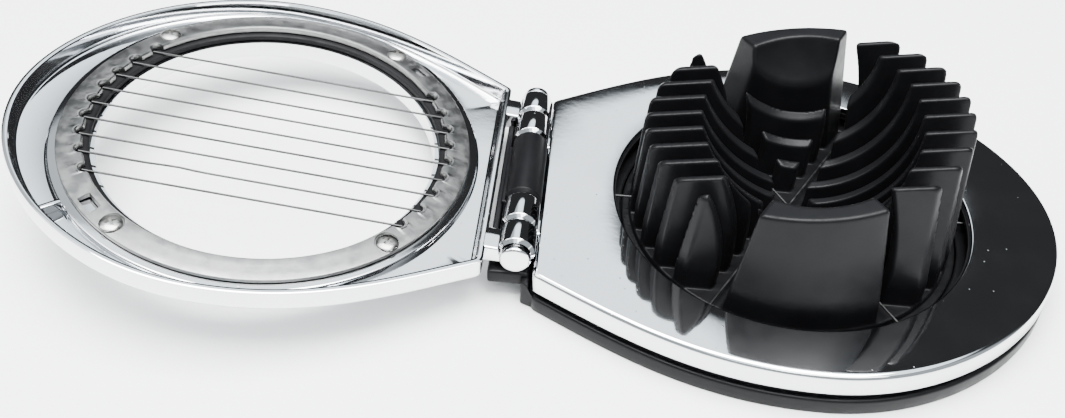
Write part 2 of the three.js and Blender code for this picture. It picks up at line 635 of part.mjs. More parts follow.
// Post, slab, lip and centre knuckle at the base's hinge end.
function hingeBlock() {
  const endFace = WEDGER_END_X - 0.6; // stands clear of the closed wedger frame
  const post = boxBetween([POST_END_X, -POST_HALF_WIDTH, 0], [WEDGER_END_X + 1, POST_HALF_WIDTH, BASE_STEP_Z]);
  const rise = boxBetween([POST_END_X, -POST_HALF_WIDTH, 1], [endFace, POST_HALF_WIDTH, SLAB_TOP_Z - 1]);
  const slabLow = SLAB_TOP_Z - SLAB_THICKNESS;
  const slab = boxBetween([SLAB_END_X, -SLAB_HALF_WIDTH, slabLow], [endFace, SLAB_HALF_WIDTH, SLAB_TOP_Z]);
  const lipHalf = KNUCKLE_STEPS[1] - KNUCKLE_GAP;
  const lip = boxBetween([SLAB_END_X, -lipHalf, slabLow + 1], [SLAB_END_X + LIP_THICKNESS, lipHalf, LIP_TOP_Z]);
  const reach = KNUCKLE_STEPS[0] - KNUCKLE_GAP / 2;
  const webHalf = reach - BARREL_CHAMFER;
  const web = boxBetween([SLAB_END_X + 1, -webHalf, SLAB_TOP_Z - 1], [endFace, webHalf, AXIS_Z - WEB_TOP_DROP]);
  return [post, rise, slab, lip, web, knuckle(-reach, reach, AXIS_Z)].map(solid);
}

// ---- Materials ----

const blackPlastic = () => new THREE.MeshStandardMaterial({ color: 0x17181a, roughness: 0.42, metalness: 0 });
const darkPlastic = () => new THREE.MeshStandardMaterial({ color: 0x101112, roughness: 0.55, metalness: 0 });
const chrome = () => new THREE.MeshStandardMaterial({ color: 0xd9dcdf, roughness: 0.05, metalness: 1 });
const castMetal = () => new THREE.MeshStandardMaterial({ color: 0x9a9b9c, roughness: 0.45, metalness: 0.9 });
const steel = () => new THREE.MeshStandardMaterial({ color: 0xb9bbbd, roughness: 0.25, metalness: 1 });

// ---- Assembly ----

const assembly = new THREE.Group();
assembly.add(meshOf("base_body", baseBody(), blackPlastic()));
assembly.add(meshOf("egg_cradle", cradle(), blackPlastic()));
cradleScrewAngles().forEach((degrees, index) => {
  const length = FLANGE_LOW + CRADLE_SCREW_GRIP - CRADLE_SCREW_SEAT;
  assembly.add(placedScrew(`cradle_screw_${index + 1}`, length, CRADLE_SCREW_CIRCLE, degrees, CRADLE_SCREW_SEAT));
});
assembly.add(meshOf("hinge_pin", hingePin(), steel()));
assembly.add(meshOf("pin_cap_back", pinCap(1), chrome()));
assembly.add(meshOf("pin_cap_front", pinCap(-1), chrome()));

// One frame with all that it carries, its rim's edge at height 0 of the group.
function framePieces(prefix, shell, wires) {
  const group = new THREE.Group();
  group.add(meshOf(`${prefix}_frame`, shell, chrome()));
  group.add(meshOf(`${prefix}_wire_carrier`, wireCarrier(wires), darkPlastic()));
  group.add(meshOf(`${prefix}_clamp_ring`, clampRing(wires), castMetal()));
  wires.forEach((wire, index) => {
    group.add(meshOf(`${prefix}_wire_${index + 1}`, tautWire(wire), steel()));
  });
  RING_SCREW_ANGLES.forEach((degrees, index) => {
    const name = `${prefix}_ring_screw_${index + 1}`;
    group.add(placedScrew(name, SCREW_LENGTH, RING_SCREW_CIRCLE, degrees, SPOT_FACE));
  });
  return group;
}

// The wedger frame lies closed over the base.
const wedger = framePieces("wedger", wedgerFrame(), wedgerWires());
wedger.position.z = WEDGER_RIM_Z;
assembly.add(wedger);

// The slicer frame is swung back about the hinge to its open stop.
const slicer = framePieces("slicer", slicerFrame(), slicerWires());
slicer.position.set(-AXIS_X, 0, SLICER_RIM_Z - AXIS_Z);
const slicerSwing = new THREE.Group();
slicerSwing.position.set(AXIS_X, 0, AXIS_Z);
slicerSwing.rotation.y = -radians(SLICER_OPEN);
slicerSwing.add(slicer);
assembly.add(slicerSwing);

export default assembly;
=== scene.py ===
"""Looks of the two-in-one egg slicer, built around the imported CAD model.

Sizes are in millimetres in the part's own frame and become metres in the meshes.
Both frames are built closed and level. The slicer's pieces are then swung about the hinge to where they rest.
"""

import math

import bmesh
import bpy
import numpy as np
from mathutils import Matrix, Vector


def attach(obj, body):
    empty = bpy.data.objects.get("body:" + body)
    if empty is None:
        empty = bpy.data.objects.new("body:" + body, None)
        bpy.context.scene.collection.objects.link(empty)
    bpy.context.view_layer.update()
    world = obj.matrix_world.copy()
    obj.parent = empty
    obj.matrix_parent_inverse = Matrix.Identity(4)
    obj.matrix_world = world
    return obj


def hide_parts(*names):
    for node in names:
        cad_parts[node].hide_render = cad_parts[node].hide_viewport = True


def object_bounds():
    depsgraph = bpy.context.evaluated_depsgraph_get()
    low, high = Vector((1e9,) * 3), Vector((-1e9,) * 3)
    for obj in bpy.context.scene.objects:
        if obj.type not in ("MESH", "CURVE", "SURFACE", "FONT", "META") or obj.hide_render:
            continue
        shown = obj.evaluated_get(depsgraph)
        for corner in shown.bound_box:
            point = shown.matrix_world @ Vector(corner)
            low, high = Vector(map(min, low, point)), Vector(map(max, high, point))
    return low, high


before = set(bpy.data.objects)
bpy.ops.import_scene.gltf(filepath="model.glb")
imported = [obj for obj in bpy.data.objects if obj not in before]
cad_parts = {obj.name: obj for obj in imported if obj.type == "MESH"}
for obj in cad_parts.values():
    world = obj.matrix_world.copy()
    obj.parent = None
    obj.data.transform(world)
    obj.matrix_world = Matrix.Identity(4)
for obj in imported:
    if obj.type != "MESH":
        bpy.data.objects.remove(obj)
CAD_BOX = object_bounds()
MM = 0.001

# ---- Sizes shared with the CAD model ----

PITCH = 5.5
WIRES = 9
WIRE_D = 0.5
HINGE = (-58.7, 0.0, 12.3)
OPEN_DEGREES = 172.7

FREE_END_X = 57.2
WIDEST_X = 3.0
HALF_WIDTH = 50.3
HINGE_END_HALF_WIDTH = 30.0
HINGE_END_SLOPE = 30.0

SLICER_END_X = -52.3
WEDGER_END_X = -55.0
SLICER_RIM_Z = 12.2
WEDGER_RIM_Z = 5.7
FRAME_HEIGHT = 5.1
FRAME_WALL = 1.6
SLICER_WINDOW = 37.6
WEDGER_WINDOW = 38.8
COLLAR_HEIGHT = 3.2

RING_IN = 39.8
RING_OUT = 45.4
RING_BOTTOM = 2.2
SCREW_CIRCLE = 43.0
SCREW_ANGLES = (41.5, 121.5, 221.5, 301.5)
SNAP_ANGLES = (132.0, 312.0)
CARRIER_IN = 38.5
CARRIER_OUT = 41.0

BARREL = 4.0
CAP_RADIUS = 3.3
KNUCKLE_STEPS = (10.5, 18.8, 26.5)
KNUCKLE_GAP = 0.35
SLICER_KNUCKLE = (18.98, 26.33)
WEDGER_KNUCKLE = (10.68, 18.62)

SLAB_HALF_WIDTH = 27.2
SLAB_END_X = -64.6
SLAB_TOP_Z = 7.6
SLAB_THICKNESS = 3.4
BASE_RIBS = 8

TOP_Z = 34.7
TOP_TILT = math.radians(9.2)
TOP_RADIUS = 33.2
FOOT_RADIUS = 35.0
FLANGE_RADIUS = 36.8
FLANGE_Z = 4.9
STRAIGHT_Z = 12.0
FLOOR_Z = 6.3
FOOT_Z = 2.7
FIN_AT_FOOT = 2.3
FIN_AT_TOP = 1.3
BOWL = (22.9, 29.9, 28.9)
BOWL_X = -0.9
BOWL_Z = 41.2
BOWL_TILT = math.radians(17)
SLANT = math.radians(60)
SLANT_HALF = 2.1
SLANT_REACH = 22.0
LUG_INNER_Y = 24.2

# ---- How finely pieces are cut up ----

OUTLINE_STEPS = 90
OUTLINE_END_STEPS = 80
TURNS = np.linspace(0, 2 * math.pi, 720, endpoint=False)
RING_TURNS = 1440
WIRE_STEPS = 24
WIRE_SIDES = 12
CRADLE_STEP = 0.34
CRADLE_FACES = 190000
NET_ROUNDS = 6

# ---- Camera ----

CAMERA_AZIMUTH = 5.076
CAMERA_ELEVATION = 38.51
CAMERA_ROLL = 1.264
CAMERA_TARGET = (-63.36, 0.87, 23.12)
CAMERA_DISTANCE = 251.6
CAMERA_LENS = 38.59
CAMERA_SENSOR = 36
CAMERA_SHIFT = (0.0234, -0.0734)


def add_camera():
    az, el, roll = (math.radians(a) for a in (CAMERA_AZIMUTH, CAMERA_ELEVATION, CAMERA_ROLL))
    back = Vector((math.sin(az) * math.cos(el), -math.cos(az) * math.cos(el), math.sin(el)))
    right = (-back).cross(Vector((0, 0, 1))).normalized()
    up = right.cross(-back)
    turned_right = right * math.cos(roll) + up * math.sin(roll)
    turned_up = up * math.cos(roll) - right * math.sin(roll)
    place = Matrix((turned_right, turned_up, back)).transposed().to_4x4()
    place.translation = Vector(CAMERA_TARGET) * MM + back * CAMERA_DISTANCE * MM
    camera = bpy.data.objects.new("camera", bpy.data.cameras.new("camera"))
    camera.matrix_world = place
    camera.data.lens = CAMERA_LENS
    camera.data.sensor_width = CAMERA_SENSOR
    camera.data.shift_x, camera.data.shift_y = CAMERA_SHIFT
    camera.data.clip_start = 0.01
    camera.data.clip_end = 20
    bpy.context.collection.objects.link(camera)
    bpy.context.scene.camera = camera


add_camera()

# ---- Materials ----

NOISE_LOW = 0.3
NOISE_HIGH = 0.7


def ramp_node(tree, source, low, high, at_low, at_high):
    """Maps a value smoothly from one range to another, and holds it beyond the ends."""
    node = tree.nodes.new("ShaderNodeMapRange")
    node.interpolation_type = "SMOOTHSTEP"
    for key, value in zip(("From Min", "From Max", "To Min", "To Max"), (low, high, at_low, at_high)):
        node.inputs[key].default_value = value
    tree.links.new(source, node.inputs["Value"])
    return node.outputs["Result"]


class Nodes:
    """A Principled material and short calls for the nodes that feed it."""

    def __init__(self, name, colour, roughness, metallic=0.0, **sockets):
        self.material = bpy.data.materials.new(name)
        self.material.use_nodes = True
        self.tree = self.material.node_tree
        self.shader = self.tree.nodes["Principled BSDF"]
        self.set("Base Color", (*colour, 1))
        self.set("Roughness", roughness)
        self.set("Metallic", metallic)
        for key, value in sockets.items():
            self.set(key.replace("_", " "), value)
        self.position = self.add("ShaderNodeTexCoord").outputs["Object"]
        self.normal = None

    def set(self, socket, value):
        self.shader.inputs[socket].default_value = value

    def add(self, kind, **values):
        node = self.tree.nodes.new(kind)
        for key, value in values.items():
            setattr(node, key, value)
        return node

    def link(self, source, target):
        self.tree.links.new(source, target)

    def noise(self, scale, detail=3.0, roughness=0.5, stretch=(1, 1, 1)):
        mapping = self.add("ShaderNodeMapping")
        mapping.inputs["Scale"].default_value = stretch
        self.link(self.position, mapping.inputs["Vector"])
        node = self.add("ShaderNodeTexNoise")
        node.inputs["Scale"].default_value = scale
        node.inputs["Detail"].default_value = detail
        node.inputs["Roughness"].default_value = roughness
        self.link(mapping.outputs["Vector"], node.inputs["Vector"])
        return node.outputs["Fac"]

    def spots(self, scale, size):
        """White dots of a given share of their cell on black."""
        cells = self.add("ShaderNodeTexVoronoi", feature="F1")
        cells.inputs["Scale"].default_value = scale
        self.link(self.position, cells.inputs["Vector"])
        return ramp_node(self.tree, cells.outputs["Distance"], 0.0, size, 1.0, 0.0)

    def colours(self, source, dark, light):
        node = self.add("ShaderNodeMix", data_type="RGBA")
        self.link(source, node.inputs["Factor"])
        node.inputs["A"].default_value = (*dark, 1)
        node.inputs["B"].default_value = (*light, 1)
        self.link(node.outputs["Result"], self.shader.inputs["Base Color"])

    def rough(self, source, low, high):
        spread = ramp_node(self.tree, source, NOISE_LOW, NOISE_HIGH, low, high)
        self.link(spread, self.shader.inputs["Roughness"])

    def bump(self, source, height_mm):
        """Adds relief on top of any that is there already."""
        node = self.add("ShaderNodeBump")
        node.inputs["Strength"].default_value = 1.0
        node.inputs["Distance"].default_value = height_mm * MM
        self.link(source, node.inputs["Height"])
        if self.normal is not None:
            self.link(self.normal, node.inputs["Normal"])
        self.normal = node.outputs["Normal"]
        self.link(self.normal, self.shader.inputs["Normal"])


def chrome_material(name, roughness):
    """Plating with faint waves and a few pits."""
    m = Nodes(name, (0.78, 0.79, 0.8), roughness, 1.0)
    m.colours(m.noise(60, 2), (0.74, 0.75, 0.77), (0.8, 0.8, 0.81))
    m.rough(m.noise(90, 4), roughness * 0.7, roughness * 1.6)
    m.bump(m.noise(420, 2), 0.006)
    m.bump(m.spots(330, 0.07), 0.02)
    return m.material


def black_plastic_material(name, roughness):
    """Moulded plastic with a fine grain over slow waves."""
    m = Nodes(name, (0.004, 0.004, 0.0045), roughness, Specular_IOR_Level=0.1)
    m.colours(m.noise(150, 3), (0.003, 0.003, 0.0035), (0.006, 0.006, 0.0065))
    m.rough(m.noise(240, 4), roughness * 0.85, roughness * 1.2)
    m.bump(m.noise(1500, 2), 0.012)
    m.bump(m.noise(160, 2), 0.03)
    return m.material


def cast_material(name):
    """Blotchy grey casting."""
    m = Nodes(name, (0.34, 0.34, 0.34), 0.36, 1.0)
    m.colours(m.noise(420, 5, 0.7), (0.14, 0.14, 0.14), (0.29, 0.29, 0.285))
    m.rough(m.noise(350, 4), 0.28, 0.45)
    m.bump(m.noise(1300, 4), 0.012)
    m.bump(m.noise(130, 2), 0.008)
    return m.material


def steel_material(name, colour, roughness):
    """Steel with marks drawn out along X."""
    m = Nodes(name, colour, roughness, 1.0)
    m.rough(m.noise(600, 3, stretch=(0.05, 1, 1)), roughness * 0.7, roughness * 1.5)
    dark, light = (tuple(c * share for c in colour) for share in (0.9, 1.1))
    m.colours(m.noise(300, 3), dark, light)
    m.bump(m.noise(1500, 2), 0.004)
    return m.material


def floor_material():
    m = Nodes("floor", (0.9, 0.9, 0.9), 0.6)
    m.colours(m.noise(3, 2), (0.9, 0.9, 0.895), (0.92, 0.92, 0.915))
    return m.material


CHROME = chrome_material("chrome", 0.05)
BLACK = black_plastic_material("black_plastic", 0.34)
DARK = black_plastic_material("dark_plastic", 0.5)
CAST = cast_material("cast_ring")
STEEL = steel_material("wire_steel", (0.06, 0.06, 0.06), 0.42)
SCREW = steel_material("screw_steel", (0.36, 0.355, 0.34), 0.28)

# ---- Meshes ----

WELD = 1e-4


def swing(degrees):
    """The move of a point that is swung about the hinge axis, as a 4 by 4 matrix in millimetres."""
    hinge = Vector(HINGE)
    turn = Matrix.Rotation(math.radians(degrees), 4, "Y")
    return Matrix.Translation(hinge) @ turn @ Matrix.Translation(-hinge)


OPENED = swing(-OPEN_DEGREES)


def about_z(degrees, height=0.0):
    """A turn about the cradle's axis and a lift."""
    return Matrix.Translation((0, 0, height)) @ Matrix.Rotation(math.radians(degrees), 4, "Z")


def finished_mesh(name, bm, place):
    """Closes a bmesh in millimetres and turns it into a mesh in metres, where it rests."""
    bmesh.ops.remove_doubles(bm, verts=bm.verts, dist=WELD)
    bmesh.ops.recalc_face_normals(bm, faces=bm.faces)
    if place is not None:
        bm.transform(place)
    bm.transform(Matrix.Scale(MM, 4))
    mesh = bpy.data.meshes.new(name)
    bm.to_mesh(mesh)
    bm.free()
    return mesh


def smooth(mesh, sharp=None):
    """Shades a mesh smooth, apart from edges sharper than some degrees."""
    mesh.polygons.foreach_set("use_smooth", [True] * len(mesh.polygons))
    if sharp is not None:
        mesh.set_sharp_from_angle(angle=math.radians(sharp))


def make(name, bm, material, body, node, place=None, sharp=32):
    """Makes the piece that rides on a body and stands for one CAD node."""
    mesh = finished_mesh(name, bm, place)
    mesh.materials.append(material)
    smooth(mesh, sharp)
    piece = bpy.data.objects.new(name, mesh)
    bpy.context.collection.objects.link(piece)
    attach(piece, body)
    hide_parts(node)
    return piece


def apply_modifiers(piece):
    """Keeps the shape that a piece's modifiers give it, without them."""
    bpy.context.view_layer.update()
    shape = piece.evaluated_get(bpy.context.evaluated_depsgraph_get())
    result = bpy.data.meshes.new_from_object(shape)
    piece.modifiers.clear()
    piece.data = result


def cut(piece, cutter, place):
    """Takes a bmesh out of a piece for good."""
    mesh = finished_mesh("cutter", cutter, place)
    tool = bpy.data.objects.new("cutter", mesh)
    bpy.context.collection.objects.link(tool)
    change = piece.modifiers.new("cut", "BOOLEAN")
    change.operation = "DIFFERENCE"
    change.solver = "EXACT"
    change.object = tool
    apply_modifiers(piece)
    smooth(piece.data, 25)
    bpy.data.objects.remove(tool)
    bpy.data.meshes.remove(mesh)


def grid_faces(bm, rows, closed_rows):
    """Joins rows of points, each a closed loop, with quads."""
    verts = [[bm.verts.new(p) for p in row] for row in rows]
    count = len(rows[0])
    pairs = list(zip(verts, verts[1:]))
    if closed_rows:
        pairs.append((verts[-1], verts[0]))
    for low, high in pairs:
        for i in range(count):
            j = (i + 1) % count
            bm.faces.new((low[i], low[j], high[j], high[i]))


def lathe(bm, profile, sides, axis="Z", centre=(0, 0, 0)):
    """Revolves [radius, height] pairs. The profile starts and ends on the axis, or closes on itself."""
    rows = []
    for radius, height in profile:
        row = []
        for k in range(sides):
            a = 2 * math.pi * k / sides
            p = (radius * math.cos(a), radius * math.sin(a), height)
            if axis == "Y":
                p = (p[0], height, p[1])
            row.append(tuple(c + o for c, o in zip(p, centre)))
        rows.append(row)
    grid_faces(bm, rows, closed_rows=profile[0][0] > 0)


def bevel(bm, parts, radius, segments):
    """Rounds every edge of some faces, or every edge that meets some corners."""
    edges = [list(part.edges if isinstance(part, bmesh.types.BMFace) else part.link_edges) for part in parts]
    bmesh.ops.bevel(
        bm,
        geom=list(dict.fromkeys(sum(edges, []))),
        offset=radius,
        segments=segments,
        profile=0.5,
        affect="EDGES",
        clamp_overlap=True,
    )


def box(bm, low, high, radius=0.4, segments=3, move=None):
    """A box with rounded edges."""
    made = bmesh.ops.create_cube(bm, size=1)["verts"]
    size = [b - a for a, b in zip(low, high)]
    middle = [(a + b) / 2 for a, b in zip(low, high)]
    to_place = Matrix.Translation(middle) @ Matrix.Diagonal((*size, 1))
    bmesh.ops.transform(bm, matrix=to_place, verts=made)
    if move is not None:
        bmesh.ops.transform(bm, matrix=move, verts=made)
    bevel(bm, made, radius, segments)


def prism(bm, corners, half, radius):
    """A bar along Y with the given [x, z] section, half width at each x and rounded edges."""
    rows = [[bm.verts.new((x, side * half(x), z)) for x, z in corners] for side in (-1, 1)]
    faces = [bm.faces.new(rows[0]), bm.faces.new(list(reversed(rows[1])))]
    for k in range(len(corners)):
        n = (k + 1) % len(corners)
        faces.append(bm.faces.new((rows[0][k], rows[1][k], rows[1][n], rows[0][n])))
    bevel(bm, faces, radius, 3)


def arc(centre, radius, start, end, steps=6):
    """Points of a round corner, as [across, up] pairs."""
    angles = np.radians(np.linspace(start, end, steps))
    return [(centre[0] + radius * math.cos(a), centre[1] + radius * math.sin(a)) for a in angles]


# ---- Teardrop outline ----

# How far each curve's handles reach, as shares of the width or length that the curve spans.
FREE_END_PULL = 0.51
FREE_SIDE_PULL = 0.53
HINGE_SIDE_PULL = 0.42
HINGE_END_PULL = 0.36


def bezier(points):
    t = np.linspace(0, 1, OUTLINE_STEPS)[:, None]
    a, b, c, d = (np.array(p, float) for p in points)
    return (1 - t) ** 3 * a + 3 * (1 - t) ** 2 * t * b + 3 * (1 - t) * t**2 * c + t**3 * d


def outline(end_x):
    """Points round the teardrop, from the free end along the back to the hinge end and on."""
    angle = math.radians(HINGE_END_SLOPE)
    slope = np.array([math.cos(angle), math.sin(angle)])
    end = np.array([end_x, HINGE_END_HALF_WIDTH])
    far = bezier(
        [
            (FREE_END_X, 0),
            (FREE_END_X, HALF_WIDTH * FREE_END_PULL),
            (WIDEST_X + (FREE_END_X - WIDEST_X) * FREE_SIDE_PULL, HALF_WIDTH),
            (WIDEST_X, HALF_WIDTH),
        ]
    )
    near = bezier(
        [
            (WIDEST_X, HALF_WIDTH),
            (WIDEST_X + (end_x - WIDEST_X) * HINGE_SIDE_PULL, HALF_WIDTH),
            end + slope * (WIDEST_X - end_x) * HINGE_END_PULL,
            end,
        ]
    )
    half = np.vstack([far, near[1:]])
    other = half[1:][::-1] * (1, -1)
    share = np.linspace(0, 1, OUTLINE_END_STEPS)[1:-1, None]
    return np.vstack([half, half[-1] * (1 - share) + other[0] * share, other])


def inset(points, distance):
    """The outline moved inwards, as radii at the angles in TURNS, a little smoothed."""
    step = np.roll(points, -1, axis=0) - points
    normal = np.stack([-step[:, 1], step[:, 0]], axis=1)
    normal /= np.linalg.norm(normal, axis=1, keepdims=True)
    both = normal + np.roll(normal, 1, axis=0)
    both /= np.linalg.norm(both, axis=1, keepdims=True)
    moved = points + both * (distance / np.sum(both * normal, axis=1))[:, None]
    angle = np.unwrap(np.arctan2(moved[:, 1], moved[:, 0]))
    radius = np.hypot(moved[:, 0], moved[:, 1])
    order = np.argsort(angle)
    radii = np.interp(TURNS, angle[order], radius[order], period=2 * math.pi)
    weights = ((-2, 1), (-1, 4), (0, 6), (1, 4), (2, 1))
    return sum(np.roll(radii, k) * w for k, w in weights) / 16


def polar_row(radii, angles, height):
    return [(r * math.cos(a), r * math.sin(a), height) for r, a in zip(radii, angles)]


def section_rows(points, section, low_z=0.0):
    """Rows of points for a section given as circles about the cradle's axis and insets of the outline."""
    rows = []
    for kind, value, height in section:
        radii = np.broadcast_to(value if kind == "circle" else inset(points, value), TURNS.shape)
        rows.append(polar_row(radii, TURNS, low_z + height))
    return rows


def all_of(kind, pairs):
    return [(kind, across, up) for across, up in pairs]


# ---- Frames ----

EDGE_RADIUS = 1.2
PLATE_UNDER = 3.9
CARRIER_POCKET = 41.2
SEAT_Z = 2.6
SEAT_RIM = 47.4
RIB_DEGREES = -43
RIB_BOX = ((47.2, -0.6, 1.5), (53.4, 0.6, 4.2))
SLICER_WIRE_Z = 2.1
WEDGER_WIRE_Z = 1.9
WEDGER_WIRE_RISE = 0.58
WEDGER_ANGLES = (0.0, 60.0, -60.0)
WIRE_END_RADIUS = 40.7
KINKED_WIRE = ("slicer", 8)
KINK = 0.35
KINK_AT = 0.72
KINK_SPREAD = 0.05


def frame_shell(bm, end_x, window, rim_z, collar):
    """The cast shell of a frame: plate, wall, rim, window collar and the seat behind the clamp ring."""
    h = FRAME_HEIGHT
    wall = FRAME_WALL
    collar_z = h + collar - 0.4
    section = []
    if collar:
        section += [("circle", window + 2.0, h), ("circle", window + 1.35, h + 0.2)]
        section += [("circle", window + 1.2, h + 0.6)]
        section += all_of("circle", arc((window + 0.8, collar_z), 0.4, 0, 90, 4))
    section += all_of("circle", arc((window + 0.4, collar_z), 0.4, 90, 180, 5))
    section += [("circle", window, 4.0), ("circle", CARRIER_POCKET, PLATE_UNDER)]
    section += [("circle", CARRIER_POCKET + 0.05, SEAT_Z)]
    section += all_of("circle", arc((SEAT_RIM - 0.5, 2.9), 0.4, 270, 360, 4))
    section += [("circle", SEAT_RIM, 3.6), ("circle", SEAT_RIM + 0.4, PLATE_UNDER)]
    section += [("inset", wall + 1.2 - a, z) for a, z in arc((0, 3.0), 0.9, 90, 0, 5)]
    section += [("inset", wall - 0.1, 0.35), ("inset", wall - 0.35, 0.08), ("inset", wall - 0.7, 0.0)]
    section += [("inset", 0.45, 0.0), ("inset", 0.12, 0.1), ("inset", 0.0, 0.4)]
    top = arc((0, h - EDGE_RADIUS), EDGE_RADIUS, 0, 90, 8)
    section += [("inset", EDGE_RADIUS - a, z) for a, z in top]
    section += [("inset", EDGE_RADIUS + 0.4, h)]
    grid_faces(bm, section_rows(outline(end_x), section, rim_z), closed_rows=True)


def knuckle(bm, low, high):
    """A barrel round the hinge pin with stepped, rounded ends."""
    profile = [(0, low), (1.75, low), (1.75, low + 0.25), (BARREL - 0.95, low + 0.05)]
    profile += [(BARREL - 0.75, low + 0.02), (BARREL - 0.1, low + 0.62)]
    profile += [(BARREL - 0.02, low + 0.72), (BARREL, low + 0.85)]
    top = [(r, low + high - y) for r, y in reversed(profile)]
    lathe(bm, profile + top, 72, "Y", (HINGE[0], 0, HINGE[2]))


def frame_piece(body, end_x, window, rim_z, collar, ends, arm_z, place):
    """A frame's shell with its two knuckles, the arms that carry them and the rib across its channel."""
    bm = bmesh.new()
    frame_shell(bm, end_x, window, rim_z, collar)
    for side in (1, -1):
        low, high = sorted((side * ends[0], side * ends[1]))
        knuckle(bm, low, high)
        box(bm, (HINGE[0], low + 0.5, arm_z[0]), (end_x + 1.0, high - 0.5, arm_z[1]), 0.5)
    box(bm, *RIB_BOX, 0.25, 2, about_z(RIB_DEGREES, rim_z))
    make(f"{body}_shell", bm, CHROME, body, f"{body}_frame", place)


def wire_list(prefix):
    """Direction, offset and height of each wire of a frame."""
    if prefix == "slicer":
        return [(0.0, (4 - i) * PITCH, SLICER_WIRE_Z) for i in range(WIRES)]
    return [(a, 0.0, WEDGER_WIRE_Z + i * WEDGER_WIRE_RISE) for i, a in enumerate(WEDGER_ANGLES)]


def wire_ends(degrees, offset, radius):
    half = math.sqrt(radius**2 - offset**2)
    turn = Matrix.Rotation(math.radians(degrees), 3, "Z")
    return [turn @ Vector((x, offset, 0)) for x in (-half, half)]


def scallops(prefix, angles):
    """The ring's inner radius at each angle: it steps back round every wire."""
    bite_radius = 1.6
    inner = np.full(angles.shape, RING_IN)
    for degrees, offset, _ in wire_list(prefix):
        for point in wire_ends(degrees, offset, RING_IN):
            gap = (angles - math.atan2(point.y, point.x) + math.pi) % (2 * math.pi) - math.pi
            bite = np.sqrt(np.clip(bite_radius**2 - (np.abs(gap) * RING_IN) ** 2, 0, None))
            inner = np.maximum(inner, RING_IN + bite * 0.95)
    return inner


def clamp_ring(prefix, rim_z, place):
    """The cast ring: scalloped inside at each wire, with spot faces for the screws and two snap windows."""
    angles = np.linspace(0, 2 * math.pi, RING_TURNS, endpoint=False)
    inner = scallops(prefix, angles)
    edge = [(0.0, 1.5), (0.12, 1.1), (0.4, 0.82), (0.75, 0.8)]
    face = [(41.9, 1.0), (43.6, 1.24), (45.05, 1.45), (45.3, 1.53), (45.4, 1.66), (RING_OUT, RING_BOTTOM)]
    rows = [polar_row(inner + from_inner, angles, rim_z + height) for from_inner, height in edge]
    for radius, height in face:
        rows.append(polar_row(np.full(angles.shape, radius), angles, rim_z + height))
    rows.append(polar_row(inner, angles, rim_z + RING_BOTTOM))
    bm = bmesh.new()
    grid_faces(bm, rows, closed_rows=True)
    ring = make(f"{prefix}_ring", bm, CAST, prefix, f"{prefix}_clamp_ring", place, 25)
    cutter = bmesh.new()
    for degrees in SCREW_ANGLES:
        a = math.radians(degrees)
        centre = (SCREW_CIRCLE * math.cos(a), SCREW_CIRCLE * math.sin(a), rim_z)
        lathe(cutter, [(0, -1), (2.75, -1), (2.75, 1.0), (2.6, 1.2), (0, 1.2)], 48, "Z", centre)
    for degrees in SNAP_ANGLES:
        low, high = (SCREW_CIRCLE - 1.4, -2.5, -1), (SCREW_CIRCLE + 1.4, 2.5, 4)
        box(cutter, low, high, 0.3, 2, about_z(degrees, rim_z))
    cut(ring, cutter, place)


def wire_carrier(prefix, rim_z, place):
    bm = bmesh.new()
    profile = [(CARRIER_IN, 3.75), (CARRIER_IN, 2.75), (CARRIER_IN + 0.2, 2.55)]
    profile += [(39.4, 2.45), (CARRIER_OUT, 2.4), (CARRIER_OUT, 3.75)]
    lathe(bm, [(r, rim_z + h) for r, h in profile], 360)
    node = f"{prefix}_wire_carrier"
    make(f"{prefix}_carrier", bm, DARK, prefix, node, place, 40)


def wire(prefix, index, degrees, offset, z, place):
    """A drawn wire. One of them is bent sideways a little, part of the way along."""
    start, end = wire_ends(degrees, offset, WIRE_END_RADIUS)
    across = Vector((-(end - start).y, (end - start).x, 0)).normalized()
    kink = KINK if (prefix, index) == KINKED_WIRE else 0.0
    rows = [[(start.x, start.y, z)] * WIRE_SIDES]
    for k in range(WIRE_STEPS + 1):
        t = k / WIRE_STEPS
        bend = kink * math.exp(-(((t - KINK_AT) / KINK_SPREAD) ** 2))
        centre = start.lerp(end, t) + across * bend
        row = []
        for s in range(WIRE_SIDES):
            a = 2 * math.pi * s / WIRE_SIDES
            p = centre + across * math.cos(a) * WIRE_D / 2
            row.append((p.x, p.y, z + math.sin(a) * WIRE_D / 2))
        rows.append(row)
    rows.append([(end.x, end.y, z)] * WIRE_SIDES)
    bm = bmesh.new()
    grid_faces(bm, rows, closed_rows=False)
    node = f"{prefix}_wire_{index}"
    make(f"{prefix}_drawn_wire_{index}", bm, STEEL, prefix, node, place, 50)


def cross_recess(centre, degrees):
    """The plus-shaped hole in a screw head, narrower at its bottom."""
    bm = bmesh.new()
    corners = [(1.3, 0.32), (0.32, 0.32), (0.32, 1.3)]
    rows = []
    for height, size in ((-2, 1.0), (-0.35, 0.85)):
        row = []
        for quarter in range(4):
            t = math.radians(degrees) + quarter * math.pi / 2
            for u, v in corners:
                x = u * size * math.cos(t) - v * math.sin(t)
                y = u * size * math.sin(t) + v * math.cos(t)
                row.append((centre[0] + x, centre[1] + y, centre[2] + height))
        rows.append(row)
    low, high = [[bm.verts.new(point) for point in row] for row in rows]
    for k in range(len(low)):
        n = (k + 1) % len(low)
        bm.faces.new((low[k], low[n], high[n], high[k]))
    bm.faces.new(low)
    bm.faces.new(high)
    return bm


